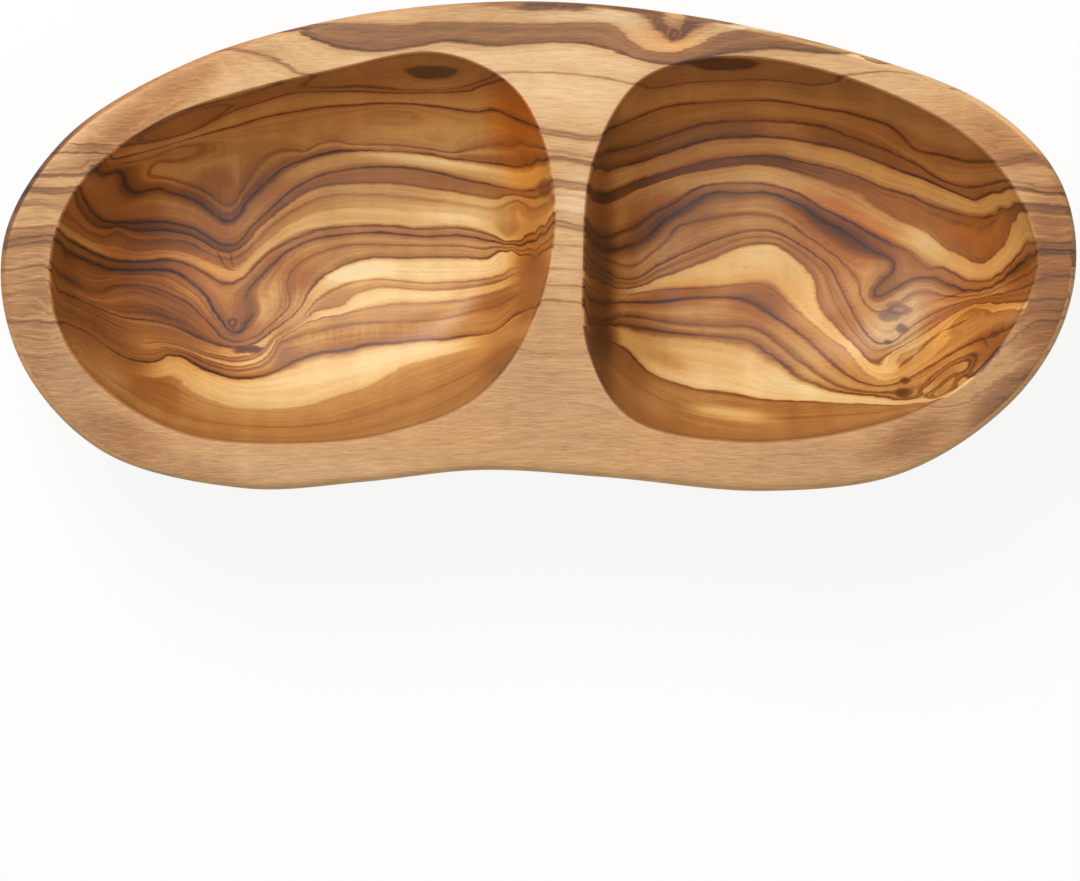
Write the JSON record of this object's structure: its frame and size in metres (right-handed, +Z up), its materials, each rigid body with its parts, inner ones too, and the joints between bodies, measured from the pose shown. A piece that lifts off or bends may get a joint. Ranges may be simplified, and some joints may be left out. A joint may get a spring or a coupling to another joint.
{
  "type": "divided serving dish",
  "caption": "One-piece carved wooden dish, bean shaped in plan, with two deep hollows end to end, a narrow divider between them and a flat foot.",
  "frame": {"origin": "on the surface the dish stands on, under the middle of its outline's bounding box", "axes": "+X along the dish, towards its slanted end and away from the end whose rim sweeps up; +Y towards the bowed back and away from the waisted front; +Z up out of the hollows"},
  "size_m": [0.25, 0.114, 0.047],
  "materials": {
    "olive_wood": "hand carved and oiled olive wood: satin inside the hollows, drier on the rim"
  },
  "bodies": {
    "root": {"dish_body": "olive_wood"}
  },
  "joints": []
}
